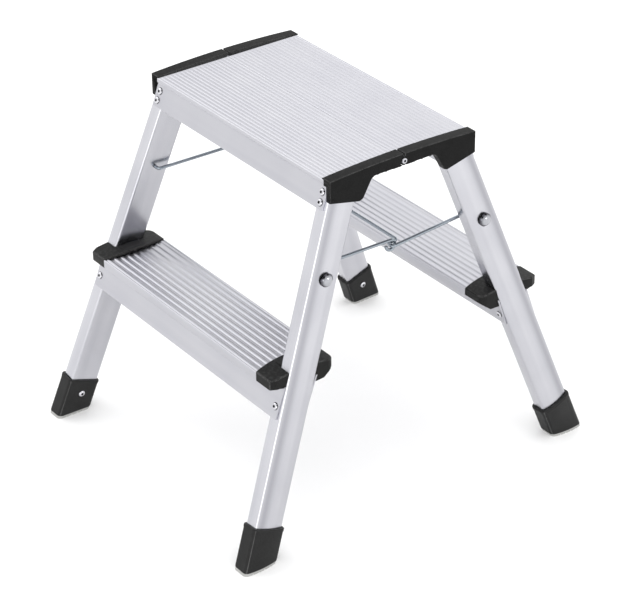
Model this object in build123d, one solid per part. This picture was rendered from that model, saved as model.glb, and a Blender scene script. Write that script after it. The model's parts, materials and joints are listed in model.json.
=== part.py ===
"""Folding double-sided step stool in aluminium, with plastic end caps and a wire spreader.

Frame: millimetres, +Z up, floor at z = 0, origin under the middle of the platform.
X runs along the steps, the front step is at -Y, and the hinge line of the two halves is along X at y = 0.

The front half is modelled once, right-hand pieces first and their mirror images after.
The rear half is the same half turned 180 degrees about Z, because both halves come off one line.
"""

from build123d import *
import os
from math import asin, cos, radians, sin, sqrt, tan

os.makedirs("parts", exist_ok=True)

# Whole stool
platform_height = 442.0      # floor to the end caps' tops at their front and rear ends
platform_width = 356.0       # over the end caps
platform_depth = 206.0       # both halves
step_height = 225.0          # floor to the rib tops of a step
step_depth = 87.5
leg_lean = 20.1              # degrees, legs spread front to back
leg_flare = 5.3              # degrees, legs spread sideways, in the plane of the aprons
fold_half = 24.0             # degrees that each half turns when folded

# Leg
leg_depth = 38.8
leg_width = 18.8
leg_crown = 2.8              # rise of the curved outer face
leg_wall = 1.6
leg_corner = 3.2
leg_inset = 8.5              # outer edge at platform height, inside the end cap's outer face
leg_setback = 10.0           # front face at platform height, behind the platform's front edge

# Clearances
lay_gap = 0.05               # parts that lie against each other
plug_gap = 0.2               # moulded parts pushed into or over metal
running_gap = 0.05           # radial, journals in their holes
swing_gap = 0.5              # parts that pass each other when the stool folds
seam_gap = 0.3               # between the two tread edges at the opening stop

# Platform half
sheet = 2.0                  # aprons and flanges
tread = 2.2                  # tread plates
platform_apron = 35.0        # apron's lower edge below the rib tops
platform_flange = 31.0       # inner flange's lower edge below the rib tops
platform_ribs = 18
platform_rib_height = 0.9
platform_rib_root = 4.0
platform_rib_crest = 1.6
platform_rib_margin = 5.9    # first rib's middle behind the front edge
nosing_height = 6.2
nosing_depth = 3.6
nosing_round = 1.7
bead_width = 2.0             # stiffening bead under the seam edge
bead_drop = 4.0              # bead's lower edge below the hinge axis

# Step
step_apron = 49.0            # aprons' lower edge below the rib tops
step_ribs = 10
step_rib_pitch = 8.55
step_rib_height = 1.0
step_rib_root = 5.4
step_rib_crest = 2.0
lip_width = 2.6
lip_round = 1.2
step_cut_back = 12.0         # tread ends this far inside the leg's inner face

# Step end cap
step_cap_height = 11.0       # below the rib tops
step_cap_crown = 5.0         # above the rib tops at the leg
step_cap_edge = 0.8          # above the rib tops at both ends
step_cap_lap = 6.0           # the lip's bulge over the tread
step_cap_front_cut = (4.0, 8.0)
step_cap_rear_round = 9.0
step_cap_toe = 11.0          # level part of the underside at the front
step_cap_leg_height = 21.0   # below the rib tops, at the leg's middle
step_cap_heel = 15.0         # slope at the rear
step_cap_heel_height = 19.5  # below the rib tops, at the slope's upper end
step_cap_tail_height = 8.0   # below the rib tops, at the rear end
step_cap_wall = 2.4          # moulded wall around the pockets under the cap
step_cap_round = 1.8
tongue_reach = 12.0          # plug tongues under the tread
tongue_rise = 2.0            # tongues above the cap's underside

# Top end cap
cap_width = 15.0             # top face
cap_proud = 2.0              # above the platform's rib tops at both ends
cap_crown = 3.4              # rise of the top from its ends to the hinge
cap_lap = 2.6                # lip over the tread
cap_neck = 11.3              # height at the hinge
cap_nose = 8.8               # height of the flange's front end
cap_nose_depth = 6.0
cap_skirt = 27.0             # skirt's height at the front end
cap_toe = 9.5                # skirt's lowest point below its front end
cap_heel = 4.0               # skirt behind the leg
cap_heel_run = 13.5          # slope from the heel up to the neck
cap_heel_round = 5.0
cap_arch_round = 9.0
cap_thickness = 7.6          # skirt, out from the leg
cap_cover = 3.6              # moulding over the leg's end
cap_round = 0.9              # outer edges
cap_rib = 2.4
cap_rib_places = (-24.0, -36.0)
plug_length = 22.0
plug_wall = 1.8

# Hinge
hinge_drop = 5.7             # axis below the ends of the caps' tops
hinge_tube = 5.0
hinge_bore = 3.0
hinge_head = 0.7             # rolled head beyond the tube, all round
hinge_head_height = 1.0
lug_radius = 5.3
lug_split = 4.6              # outer lug's thickness
lug_recess = 4.4             # inner lug's face beyond the tread's end
knuckle_length = 16.0

# Foot
foot_wall = 2.8
foot_height = 49.5           # along the leg
foot_rim = 0.5               # band around the top, proud of the sleeve
foot_rim_height = 3.6
foot_round = 1.2
foot_floor = 5.0             # moulding between the leg's end and the sole
foot_rivet_rise = 29.5
sole_height = 3.8
sole_inset = 0.7
sole_grooves = (-12.0, -4.0, 4.0, 12.0)
groove_width = 2.2
groove_depth = 1.2

# Fasteners
rivet_head = 9.4
rivet_head_height = 1.9
rivet_shank = 4.8
rivet_bulb = 6.7             # swollen blind end
rivet_bulb_length = 4.5
rivet_bore = 3.4             # where the mandrel broke off
platform_rivet_drops = (18.5, 29.5)   # below platform height
step_rivet_drop = 35.5                # below the step's rib tops
apron_margin = 6.5           # sheet outside a rivet's middle

# Spreader
wire = 4.2
wire_bend = 3.2              # bend radius to the wire's middle
pivot_height = 327.0
knuckle_drop = 8.5           # knuckle axis below the pivots
arm_clear = 3.8              # arm's middle inside the leg's inner face
nose_straight = 2.8          # straight part of a nose, where the eye hangs
nose_length = 13.0           # nose axis ahead of the crossbar
eye_radius = 6.2             # to the wire's middle
link_gap = 0.8               # link's end short of the front leg
dome_diameter = 16.5
dome_height = 5.6
dome_rim = 1.4
dome_wall = 1.2
dome_gap = 1.2               # cap's rim off the leg's crown
dome_grip = 2.0              # wall of the boss on the wire

# Worked out
lean = radians(leg_lean)
flare = radians(leg_flare)
half_width = platform_width / 2
half_depth = platform_depth / 2
leg_front = leg_setback - half_depth
leg_run = leg_depth / cos(lean)                    # leg's depth measured level
leg_x = half_width - leg_inset - leg_width / 2
leg_y = leg_front + leg_run / 2
side_slope = tan(flare) / cos(lean)                # sideways spread per millimetre of drop
rib_top = platform_height - cap_proud
plate_top = rib_top - platform_rib_height
plate_under = plate_top - tread
leg_top = plate_under - plug_gap - cap_cover - lay_gap
leg_bottom = sole_height + foot_floor
hinge_z = platform_height - hinge_drop
seam_y = -seam_gap / 2
tread_end = half_width - cap_width + cap_lap
rib_end = half_width - cap_width - plug_gap        # ribs stop short of the caps' lips
far = 2 * (platform_height + platform_width + platform_depth)
apron_out = (sheet + lay_gap) / cos(lean)          # a sheet's outer face off the leg, measured level


def front_face(z):
    """Y of the front legs' front face at height z."""
    return leg_front - (platform_height - z) * tan(lean)


def rear_face(z):
    """Y of the front legs' inner narrow face at height z."""
    return front_face(z) + leg_run


def leg_middle(z):
    """X of the right legs' centre line at height z."""
    return leg_x + (platform_height - z) * side_slope


# Right front leg: x points out of the crowned face, y to the inside of the stool, z up the leg
leg_plane = Plane(
    origin=(leg_x, leg_y, platform_height),
    x_dir=(cos(flare), sin(flare) * sin(lean), sin(flare) * cos(lean)),
    z_dir=(-sin(flare), cos(flare) * sin(lean), cos(flare) * cos(lean)),
)


def down_leg(z):
    """Length along the leg from platform height down to height z."""
    return (platform_height - z) / cos(lean) / cos(flare)


# Helpers
def leg_outline(grow=0.0):
    """The leg's outline, flat inside and crowned outside, grown or shrunk all round."""
    w = leg_width / 2 + grow
    d = leg_depth / 2 + grow
    sides = Polyline((w, -d), (-w, -d), (-w, d), (w, d))
    crown = ThreePointArc((w, d), (w + leg_crown, 0), (w, -d))
    face = make_face(sides.edges() + crown.edges())
    return fillet(face.vertices(), max(leg_corner + grow, leg_wall / 4))


def leg_bar(grow=0.0):
    """A solid bar along the leg, well past both of its ends."""
    return leg_plane.location * extrude(leg_outline(grow), amount=far, both=True)


def level_slab(low, high):
    """Everything between two heights."""
    return Pos(0, 0, (low + high) / 2) * Box(2 * far, 2 * far, high - low)


def yz_face(*corners):
    """A face in the YZ plane from its (y, z) corners."""
    return Plane.YZ * make_face(Polyline(*corners, close=True).edges())


def yz_box(y0, y1, z0, z1):
    """An upright rectangle in the YZ plane."""
    return yz_face((y0, z0), (y1, z0), (y1, z1), (y0, z1))


def along_x(face, x0, x1):
    """Extrude a YZ face from x0 to x1."""
    return Pos(x0, 0, 0) * extrude(face, amount=x1 - x0, dir=(1, 0, 0))


def x_cylinder(radius, x0, x1, y, z):
    """A cylinder along X."""
    return Pos((x0 + x1) / 2, y, z) * Rot(0, 90, 0) * Cylinder(radius, x1 - x0)


def to_left(part):
    """The mirror image of a right-hand piece."""
    return mirror(part, about=Plane.YZ)


def to_rear(part):
    """The same piece on the rear half."""
    return Rot(0, 0, 180) * part


# Blind rivets: each place is a plane on the sheet's outer face, with z pointing out
def front_rivet_place(z):
    """Through an apron into the leg's front face."""
    spot = (leg_middle(z), front_face(z) - apron_out, z)
    return Plane(origin=spot, z_dir=(0, -cos(lean), sin(lean)))


def rear_rivet_place(z):
    """Through an inner sheet into the leg's inner narrow face."""
    spot = (leg_middle(z), rear_face(z) + apron_out, z)
    return Plane(origin=spot, z_dir=(0, cos(lean), -sin(lean)))


upper_rivet, lower_rivet = (platform_height - drop for drop in platform_rivet_drops)
step_rivet = step_height - step_rivet_drop
platform_rivet_places = [
    front_rivet_place(upper_rivet), front_rivet_place(lower_rivet), rear_rivet_place(upper_rivet),
]
step_rivet_places = [front_rivet_place(step_rivet), rear_rivet_place(step_rivet)]
foot_rivet_place = Plane(
    origin=leg_plane.from_local_coords((-leg_width / 2 - foot_wall, 0, -down_leg(foot_rivet_rise))),
    z_dir=leg_plane.x_dir * -1,
)
sheet_grip = sheet + lay_gap + leg_wall
foot_grip = foot_wall + leg_wall


def blind_rivet(grip):
    """A set blind rivet along Z: domed head with its mandrel hole, shank, and bulb behind the grip."""
    shank = rivet_shank / 2
    head = rivet_head / 2
    bulb = rivet_bulb / 2
    bore = rivet_bore / 2
    blind = -grip - lay_gap
    tail = blind - rivet_bulb_length
    outline = Polyline(
        (bore, rivet_head_height), (bore, lay_gap), (0, lay_gap), (0, tail), (shank / 2, tail),
        (bulb, (tail + blind) / 2), (bulb, blind), (shank, blind), (shank, lay_gap), (head, lay_gap),
    )
    top = TangentArc((bore, rivet_head_height), (head, lay_gap), tangent=(1, 0))
    return revolve(Plane.XZ * make_face(outline.edges() + top.edges()), Axis.Z)


def rivet_hole(place, grip):
    """Clearance for a rivet's shank through all that it grips."""
    drill = Cylinder(rivet_shank / 2 + running_gap, grip + 2 * leg_wall)
    return place.location * Pos(0, 0, -grip / 2) * drill


def bulb_room(place, grip):
    """Room inside the leg for a rivet's blind end."""
    depth = rivet_bulb_length + plug_gap
    return place.location * Pos(0, 0, -grip - depth / 2) * Cylinder(rivet_bulb / 2 + swing_gap, depth)


# Metal pieces
pivot_y = front_face(pivot_height) + leg_run / 2     # the wire crosses the middle of the leg


def make_leg():
    """Right front leg: hollow extrusion cut level at both ends, with rivet holes and the wire's hole."""
    leg = (leg_bar() - leg_bar(-leg_wall)) & level_slab(leg_bottom + lay_gap, leg_top)
    for place in platform_rivet_places + step_rivet_places:
        leg -= rivet_hole(place, sheet_grip)
    leg -= rivet_hole(foot_rivet_place, foot_grip)
    return leg - x_cylinder(wire / 2 + running_gap, 0, far, pivot_y, pivot_height)


def add_ribs(profile, first, pitch, count, base, height, root, crest):
    """Add trapezoid ribs on top of a tread's profile."""
    for i in range(count):
        y = first + i * pitch
        profile += yz_face(
            (y - root / 2, base - height), (y - root / 2, base), (y - crest / 2, base + height),
            (y + crest / 2, base + height), (y + root / 2, base), (y + root / 2, base - height),
        )
    return profile


def slanted_sheet(face, side, high, low, gap=0.0):
    """A sheet on one of the leg's narrow faces, side -1 in front and +1 behind; a gap gives room for it."""
    near = side * (lay_gap / cos(lean) - gap)
    out = side * (apron_out + gap)
    return yz_face(
        (face(high) + near, high), (face(high) + out, high), (face(low) + out, low), (face(low) + near, low)
    )


def make_platform():
    """Front half of the platform: ribbed tread, nosing, riveted apron, inner flange and seam bead."""
    front = -half_depth
    bead_edge = seam_y - swing_gap - bead_drop * tan(radians(fold_half)) - bead_width / 2
    sheets = (
        (front_face, -1, rib_top - platform_apron),
        (rear_face, 1, rib_top - platform_flange),
    )
    nose = yz_box(front, front + nosing_depth, rib_top - nosing_height, rib_top)
    profile = yz_box(front + nosing_depth / 2, seam_y, plate_under, plate_top)
    profile += fillet(nose.vertices(), nosing_round)
    profile += yz_box(bead_edge - bead_width, bead_edge, hinge_z - bead_drop, plate_top)
    first = front + platform_rib_margin
    pitch = (seam_y - platform_rib_root / 2 - first) / (platform_ribs - 1)
    rib = (platform_rib_height, platform_rib_root, platform_rib_crest)
    profile = add_ribs(profile, first, pitch, platform_ribs, plate_top, *rib)
    for face, side, low in sheets:
        profile += slanted_sheet(face, side, plate_under + tread / 2, low)
    half = along_x(profile, -tread_end, tread_end)
    under_lip = yz_box(first - platform_rib_root / 2, 0, plate_top, platform_height)
    under_lip = along_x(under_lip, rib_end, half_width)
    half -= under_lip
    half -= to_left(under_lip)
    tab_end = leg_middle(lower_rivet) + apron_margin
    tab_top = platform_height - cap_neck
    for face, side, low in sheets:
        half += along_x(slanted_sheet(face, side, tab_top, low), -tab_end, tab_end)
    for place in platform_rivet_places:
        hole = rivet_hole(place, sheet_grip)
        half -= hole
        half -= to_left(hole)
    return half


step_middle = front_face(step_height) + leg_run / 2
step_front = step_middle - step_depth / 2
step_rear = step_middle + step_depth / 2
step_plate_top = step_height - step_rib_height
step_plate_under = step_plate_top - tread
step_cap_low = step_height - step_cap_height
step_end = leg_middle(step_height) - leg_width / 2 - step_cut_back


def make_step():
    """Front step: ribbed tread with a rolled lip at both edges and an apron on both sides of the legs."""
    lip_middle = lip_width / 2
    profile = yz_box(step_front + lip_middle, step_rear - lip_middle, step_plate_under, step_plate_top)
    for near, back in ((step_front, step_front + lip_width), (step_rear - lip_width, step_rear)):
        lip = yz_box(near, back, step_cap_low, step_height)
        profile += fillet(lip.vertices(), lip_round)
    first = step_middle - step_rib_pitch * (step_ribs - 1) / 2
    rib = (step_rib_height, step_rib_root, step_rib_crest)
    profile = add_ribs(profile, first, step_rib_pitch, step_ribs, step_plate_top, *rib)
    low = step_height - step_apron
    tab_end = leg_middle(step_rivet) + apron_margin
    for face, side in ((front_face, -1), (rear_face, 1)):
        profile += slanted_sheet(face, side, step_plate_under + tread / 2, low)
    step = along_x(profile, -step_end, step_end)
    for face, side in ((front_face, -1), (rear_face, 1)):
        step += along_x(slanted_sheet(face, side, step_cap_low - plug_gap, low), -tab_end, tab_end)
    for place in step_rivet_places:
        hole = rivet_hole(place, sheet_grip)
        step -= hole
        step -= to_left(hole)
    return step


# Moulded pieces
def corner_at(face, x, y, z):
    """The corner of a face nearest to a place."""
    return face.vertices().sort_by_distance(Vector(x, y, z))[0]


def make_step_cap():
    """Right front step cap: crowned end cover around the leg, lapped over the tread and plugged under it."""
    outer = leg_middle(step_height) + leg_width / 2 - swing_gap
    start = step_end + plug_gap
    inner = step_end - step_cap_edge
    front_x, front_y = step_cap_front_cut
    edge = ThreePointArc((inner, step_front), (step_end - step_cap_lap, step_middle), (inner, step_rear))
    rim = Polyline(
        (inner, step_rear), (outer, step_rear), (outer, step_front + front_y),
        (outer - front_x, step_front), (inner, step_front),
    )
    plan = make_face(edge.edges() + rim.edges())
    plan = fillet(corner_at(plan, outer, step_rear, 0), step_cap_rear_round)
    block = extrude(plan, amount=platform_height, dir=(0, 0, 1))
    edge_z = step_height + step_cap_edge
    crown_z = step_height + step_cap_crown
    heel_z = step_height - step_cap_heel_height
    tail_z = step_height - step_cap_tail_height
    underside = Polyline(
        (step_front, edge_z), (step_front, step_cap_low), (step_front + step_cap_toe, step_cap_low),
        (step_middle, step_height - step_cap_leg_height),
        (step_rear - step_cap_heel, heel_z), (step_rear, tail_z), (step_rear, edge_z),
    )
    crown = ThreePointArc((step_rear, edge_z), (step_middle, crown_z), (step_front, edge_z))
    cap = block & along_x(Plane.YZ * make_face(underside.edges() + crown.edges()), 0, far)
    cap = fillet([edge for edge in cap.edges() if edge.center().Z > tail_z + lay_gap], step_cap_round)
    cap -= along_x(yz_box(-far, 0, 0, step_height + plug_gap), 0, start)
    pocket = extrude(offset(plan, amount=-step_cap_wall), amount=step_height - step_cap_wall, dir=(0, 0, 1))
    pocket -= along_x(yz_box(-far, far, 0, far), 0, start + step_cap_wall)
    cap -= pocket - leg_bar(plug_gap + step_cap_wall)
    tongue_low = step_cap_low + tongue_rise
    tongue_high = step_plate_under - plug_gap
    lip_clear = lip_width + plug_gap
    apron_clear = apron_out + swing_gap
    tongues = (
        (step_front + lip_clear, front_face(tongue_low) - apron_clear),
        (rear_face(tongue_high) + apron_clear, step_rear - lip_clear),
    )
    for y0, y1 in tongues:
        cap += along_x(yz_box(y0, y1, tongue_low, tongue_high), start - tongue_reach, start + leg_wall)
    for face, side in ((front_face, -1), (rear_face, 1)):
        cap -= along_x(slanted_sheet(face, side, step_cap_low, 0, plug_gap), 0, far)
    return cap - leg_bar(plug_gap)


def cap_side_view(end):
    """Side view of a top end cap: skirt over the leg, arched underside, thin neck up to y = end."""
    front = -half_depth
    top = platform_height + cap_crown
    neck = platform_height - cap_neck
    skirt = platform_height - cap_skirt
    toe = skirt - cap_toe
    heel = rear_face(skirt) + cap_heel
    toe_y = heel - cap_heel_round
    view = yz_face(
        (front, top), (front, skirt), (toe_y, toe), (heel, toe + cap_heel_round / 3),
        (heel + cap_heel_run, neck), (end, neck), (end, top),
    )
    view = fillet(corner_at(view, 0, heel, toe + cap_heel_round / 3), cap_heel_round)
    return fillet(corner_at(view, 0, heel + cap_heel_run, neck), cap_arch_round)


def under_crown():
    """Everything below the crowned line of the caps' tops."""
    ends = [(-half_depth, platform_height), (half_depth, platform_height)]
    crown = ThreePointArc(ends[0], (0, platform_height + cap_crown), ends[1])
    below = Polyline(ends[1], (half_depth, 0), (-half_depth, 0), ends[0])
    return along_x(Plane.YZ * make_face(crown.edges() + below.edges()), 0, far)


split_x = half_width - lug_split                     # the two lugs of a hinge meet here
lug_inside = tread_end + lug_recess


def make_top_cap(lug_outside):
    """Right front top cap: flange along the tread's end, skirt and plug at the leg, lug at the hinge.

    A hinge has one lug outside and one inside, so the two caps that meet differ in that only.
    """
    end = -2 * swing_gap
    neck = platform_height - cap_neck
    top = platform_height + cap_crown
    wall = tread_end + plug_gap
    cap = along_x(cap_side_view(end), half_width - cap_thickness, half_width)
    cap += along_x(yz_box(-half_depth, end, plate_under + plug_gap, top), wall, half_width)
    nose = yz_box(-half_depth, cap_nose_depth - half_depth, platform_height - cap_nose, top)
    cap += along_x(nose, wall, half_width)
    cap += along_x(yz_box(-half_depth, end, rib_top + plug_gap, top), half_width - cap_width, half_width)
    cap &= under_crown()
    outside = [edge for edge in cap.edges() if edge.center().X > half_width - lay_gap]
    upper = [edge for edge in cap.edges() if edge.center().Z > platform_height - lay_gap]
    cap = fillet(outside + [edge for edge in upper if edge.center().X < half_width - lay_gap], cap_round)
    cap += along_x(yz_box(-knuckle_length, end, neck, platform_height), lug_inside, half_width)
    for y in cap_rib_places:
        cap += along_x(yz_box(y - cap_rib, y, neck, platform_height), lug_inside, half_width)
    cap -= leg_bar(plug_gap) & level_slab(0, leg_top + lay_gap)
    cap += leg_bar() & level_slab(leg_top + lay_gap, plate_under - plug_gap)
    plug = leg_bar(-leg_wall - plug_gap) - leg_bar(-leg_wall - plug_gap - plug_wall)
    plug &= level_slab(leg_top - plug_length, leg_top + cap_cover / 2)
    for place in platform_rivet_places:
        plug -= bulb_room(place, sheet_grip)
    cap += plug
    # Hinge: relief below the axis for folding, a pocket for the other cap's lug, and this cap's own lug
    relief = hinge_z * tan(radians(fold_half) + swing_gap / lug_radius)
    cap -= along_x(yz_face((0, hinge_z), (-relief, 0), (relief, 0)), 0, far)
    pocket = (0, split_x + plug_gap) if lug_outside else (split_x - plug_gap, far)
    lug = (split_x + plug_gap, half_width) if lug_outside else (lug_inside, split_x - plug_gap)
    cap -= x_cylinder(lug_radius + swing_gap, *pocket, 0, hinge_z)
    cap += x_cylinder(lug_radius, *lug, 0, hinge_z)
    head_room = hinge_tube / 2 + hinge_head + swing_gap
    cap -= x_cylinder(head_room, 0, lug_inside, 0, hinge_z)
    return cap - x_cylinder(hinge_tube / 2 + running_gap, 0, far, 0, hinge_z)


def make_hinge_rivet():
    """Right hinge rivet: hollow, with a rolled head at both ends."""
    inside = lug_inside - 2 * running_gap
    outside = half_width + 2 * running_gap
    head = hinge_tube / 2 + hinge_head
    rivet = x_cylinder(hinge_tube / 2, inside - hinge_head_height, outside + hinge_head_height, 0, hinge_z)
    inner_head = x_cylinder(head, inside - hinge_head_height, inside, 0, hinge_z)
    outer_head = x_cylinder(head, outside, outside + hinge_head_height, 0, hinge_z)
    rivet += fillet(inner_head.edges().filter_by(GeomType.CIRCLE).sort_by(Axis.X)[0], hinge_head / 2)
    rivet += fillet(outer_head.edges().filter_by(GeomType.CIRCLE).sort_by(Axis.X)[-1], hinge_head / 2)
    return rivet - x_cylinder(hinge_bore / 2, 0, far, 0, hinge_z)


def make_foot():
    """Right front foot: rimmed sleeve on the leg's end, square to the leg on top, level at the bottom."""
    blank = extrude(leg_outline(foot_wall), amount=-far)
    blank += extrude(leg_outline(foot_wall + foot_rim), amount=-foot_rim_height)
    blank = fillet(blank.faces().sort_by(Axis.Z)[-1].edges(), foot_round)
    collar = down_leg(sole_height) - (foot_height - sole_height)
    foot = leg_plane.location * Pos(0, 0, -collar) * blank
    foot &= level_slab(sole_height, platform_height)
    foot -= leg_bar(plug_gap) & level_slab(leg_bottom, platform_height)
    return foot - rivet_hole(foot_rivet_place, foot_grip)


def make_sole():
    """Right front sole: soft pad under the foot, with grooves across its underside."""
    pad = leg_bar(foot_wall - sole_inset) & level_slab(0, sole_height)
    middle = front_face(0) + leg_run / 2
    for offset in sole_grooves:
        y = middle + offset
        groove = yz_box(y - groove_width / 2, y + groove_width / 2, -groove_depth, groove_depth)
        pad -= along_x(groove, 0, far)
    return pad


# Spreader
arm_length = sqrt(pivot_y ** 2 + knuckle_drop ** 2)
leg_inner = leg_middle(pivot_height) - leg_width / 2
leg_outer = leg_middle(pivot_height) + leg_width / 2 + leg_crown
arm_x = leg_inner - arm_clear
nose_x = arm_x - nose_straight - 2 * wire_bend
eye_x = (arm_x + nose_x) / 2
dome_base = leg_outer + dome_gap
journal_end = dome_base + dome_height - dome_rim


def round_wire(path):
    """Wire swept along a path."""
    return sweep(Plane(origin=path @ 0, z_dir=path % 0) * Circle(wire / 2), path=path)


def make_bow():
    """The bow: journals in the rear legs, two arms, a nose at each corner for a link's eye, a crossbar."""
    plane = Plane(
        origin=(0, -pivot_y, pivot_height),
        x_dir=(1, 0, 0),
        z_dir=(0, knuckle_drop / arm_length, pivot_y / arm_length),
    )
    right = [
        (journal_end, 0), (arm_x, 0), (arm_x, arm_length),
        (nose_x, arm_length), (nose_x, arm_length - nose_length),
    ]
    left = [(-x, y) for x, y in reversed(right)]
    return round_wire(plane.location * FilletPolyline(*right, *left, radius=wire_bend))


def make_link():
    """Right link: a short bent end at the front leg, a straight shank, and an eye around the bow's nose."""
    tilt = asin(knuckle_drop / arm_length) - asin(eye_radius / arm_length)
    shank = sqrt(arm_length ** 2 - eye_radius ** 2)
    reach = leg_inner - eye_x - link_gap
    bend = wire_bend
    middle = bend * (1 - cos(radians(45)))
    path = Wire([
        Line((0, 0, reach), (0, 0, bend)),
        ThreePointArc((0, 0, bend), (middle, 0, middle), (bend, 0, 0)),
        Line((bend, 0, 0), (shank, 0, 0)),
        CenterArc((shank, -eye_radius, 0), eye_radius, 90, -270),
    ])
    plane = Plane(origin=(eye_x, pivot_y, pivot_height), x_dir=(0, cos(tilt), -sin(tilt)), z_dir=(1, 0, 0))
    return round_wire(plane.location * path)


def dome(bore):
    """A domed push-on cap along X from x = 0: hollow shell with a boss around the wire."""
    rim = dome_diameter / 2
    boss = wire / 2 + dome_grip
    roof = dome_height - dome_rim
    shell = Polyline(
        (rim, dome_rim), (rim, 0), (rim - dome_wall, 0), (rim - dome_wall, dome_rim), (boss, dome_rim),
        (boss, 0), (bore, 0), (bore, roof), (0, roof), (0, dome_height),
    )
    top = TangentArc((0, dome_height), (rim, dome_rim), tangent=(1, 0))
    return Rot(0, 90, 0) * revolve(Plane.XZ * make_face(shell.edges() + top.edges()), Axis.Z)


def make_bow_cap():
    """Domed cap on the bow's right end, outside the rear leg."""
    return Pos(dome_base, -pivot_y, pivot_height) * dome(wire / 2 + lay_gap)


def make_link_pivot():
    """Right front pivot: domed cap and the journal that stays in the front leg."""
    cap = Pos(dome_base, pivot_y, pivot_height) * dome(wire / 2)
    return cap + x_cylinder(wire / 2, leg_inner + plug_gap, journal_end, pivot_y, pivot_height)


# Writing the nodes
def both_sides(places, part):
    """A right-hand fastener at every place and its mirror images, as one group."""
    right = [place.location * part for place in places]
    return right + [to_left(piece) for piece in right]


def save(name, pieces):
    """Write one node from a list of pieces."""
    solids = [solid for piece in pieces for solid in piece.solids()]
    export_step(solids[0] if len(solids) == 1 else Compound(solids), f"parts/{name}.step")


def save_hands(kind, right, left):
    """Write the four copies of a piece that has a right and a left hand."""
    save(f"front_right_{kind}", [right])
    save(f"front_left_{kind}", [left])
    save(f"rear_left_{kind}", [to_rear(right)])
    save(f"rear_right_{kind}", [to_rear(left)])


hands = {"leg": make_leg, "step_cap": make_step_cap, "foot": make_foot, "sole": make_sole}
for kind, make in hands.items():
    right_piece = make()
    save_hands(kind, right_piece, to_left(right_piece))
save_hands("top_cap", make_top_cap(lug_outside=False), to_left(make_top_cap(lug_outside=True)))

half_groups = {
    "platform_half": [make_platform()],
    "step": [make_step()],
    "platform_rivets": both_sides(platform_rivet_places, blind_rivet(sheet_grip)),
    "step_rivets": both_sides(step_rivet_places, blind_rivet(sheet_grip)),
    "foot_rivets": both_sides([foot_rivet_place], blind_rivet(foot_grip)),
}
for name, pieces in half_groups.items():
    save(f"front_{name}", pieces)
    save(f"rear_{name}", [to_rear(piece) for piece in pieces])

save("spreader_bow", [make_bow()])
pairs = {
    "hinge_rivet": make_hinge_rivet, "spreader_link": make_link,
    "bow_cap": make_bow_cap, "link_pivot": make_link_pivot,
}
for kind, make in pairs.items():
    right_piece = make()
    save(f"right_{kind}", [right_piece])
    save(f"left_{kind}", [to_left(right_piece)])
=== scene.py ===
# %% [markdown]
# # A folding step stool in aluminium
#
# The stool has two halves that meet at a hinge along the middle of the platform. Each half is a pair of
# hollow legs, a ribbed step and half of the ribbed platform. Black moulded caps close the ends of the
# treads, black feet with soft soles close the legs, and a bent wire spreader keeps the halves apart.
#
# The CAD model already has every piece at its real size, so this lesson is about looks: rounded edges,
# finishes that show how each surface was made, small fittings, studio light and the camera.

# %% Load the model
import json
from math import cos, pi, radians, sin

import bpy
from mathutils import Matrix, Vector


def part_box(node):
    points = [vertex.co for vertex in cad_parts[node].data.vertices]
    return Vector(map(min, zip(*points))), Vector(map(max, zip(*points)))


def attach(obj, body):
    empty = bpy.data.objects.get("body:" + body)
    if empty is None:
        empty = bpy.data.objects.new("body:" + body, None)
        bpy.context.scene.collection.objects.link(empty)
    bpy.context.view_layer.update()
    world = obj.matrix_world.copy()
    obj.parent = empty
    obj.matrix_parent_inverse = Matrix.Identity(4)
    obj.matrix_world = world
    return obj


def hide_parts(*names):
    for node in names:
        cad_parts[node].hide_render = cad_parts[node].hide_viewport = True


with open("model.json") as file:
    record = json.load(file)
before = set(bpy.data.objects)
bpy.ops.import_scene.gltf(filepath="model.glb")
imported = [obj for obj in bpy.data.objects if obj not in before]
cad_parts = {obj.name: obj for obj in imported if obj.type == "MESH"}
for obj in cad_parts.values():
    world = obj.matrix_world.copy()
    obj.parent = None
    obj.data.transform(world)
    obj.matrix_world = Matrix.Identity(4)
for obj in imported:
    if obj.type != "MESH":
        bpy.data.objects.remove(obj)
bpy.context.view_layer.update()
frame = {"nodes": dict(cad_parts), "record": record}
record = frame["record"]
body_of = {node: body for body, nodes in record["behaviour"]["bodies"].items() for node in nodes}
slot_of = {part["node"]: part["material_slot"] for part in record["subparts"]}

# %% [markdown]
# ## Joined copies with smooth shading
#
# A CAD node arrives as loose triangles, so every facet of a bend would show. Modelling each piece again by
# hand would only repeat the CAD, so each piece starts as a copy of its node. The three small helpers here
# do what one would do by mouse: pick an object, apply a modifier, and shade it. Shading by angle keeps
# sharp edges sharp, and weighted normals keep flat faces flat while the bends shade smoothly.

# %% Helpers for one piece
MM = 0.001
SMOOTH_BELOW = radians(35)
FACE_WEIGHT = 50             # the modifier's usual value: large faces lead the shading of their edges


def pick(piece):
    """Make one object the only selected and active one."""
    bpy.ops.object.select_all(action="DESELECT")
    piece.select_set(True)
    bpy.context.view_layer.objects.active = piece


def apply_modifier(piece, kind, **settings):
    """Add a modifier, set it up and apply it."""
    pick(piece)
    modifier = piece.modifiers.new(kind.title(), kind)
    for name, value in settings.items():
        setattr(modifier, name, value)
    bpy.ops.object.modifier_apply(modifier=modifier.name)


def shade_by_angle(piece):
    """Shade bends smoothly and keep flat faces flat."""
    pick(piece)
    bpy.ops.object.shade_smooth_by_angle(angle=SMOOTH_BELOW)
    apply_modifier(piece, "WEIGHTED_NORMAL", keep_sharp=True, weight=FACE_WEIGHT)


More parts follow.
